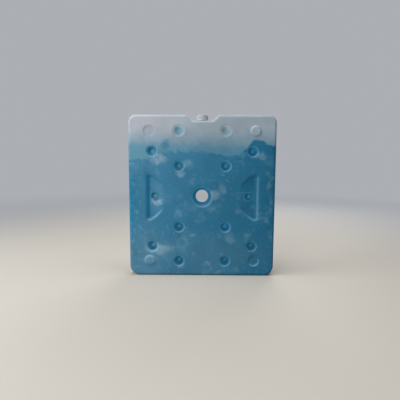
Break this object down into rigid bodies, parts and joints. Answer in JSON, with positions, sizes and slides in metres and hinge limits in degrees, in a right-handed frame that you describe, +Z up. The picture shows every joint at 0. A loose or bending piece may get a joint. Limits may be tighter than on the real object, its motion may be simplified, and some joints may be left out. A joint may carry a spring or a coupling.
{
  "type": "reusable ice pack",
  "caption": "Flat upright ice pack: translucent moulded bottle of blue coolant with welded dimples, a centre hole, side finger grips, nesting discs and a capped filler neck in a top notch.",
  "frame": {"origin": "middle of the base that the pack stands on", "axes": "+X to the pack's right as seen from the front, +Y from the front face to the back face, +Z up to the notched edge"},
  "size_m": [0.324, 0.038, 0.358],
  "materials": {
    "natural_polyethylene": "milky, translucent, waxy, finely grained",
    "blue_coolant": "frozen coolant with pale patches, seen through the bottle",
    "white_polyethylene": "milky, smooth"
  },
  "bodies": {
    "root": {"shell": "natural_polyethylene", "gel": "blue_coolant", "filler_cap": "white_polyethylene"}
  },
  "joints": []
}
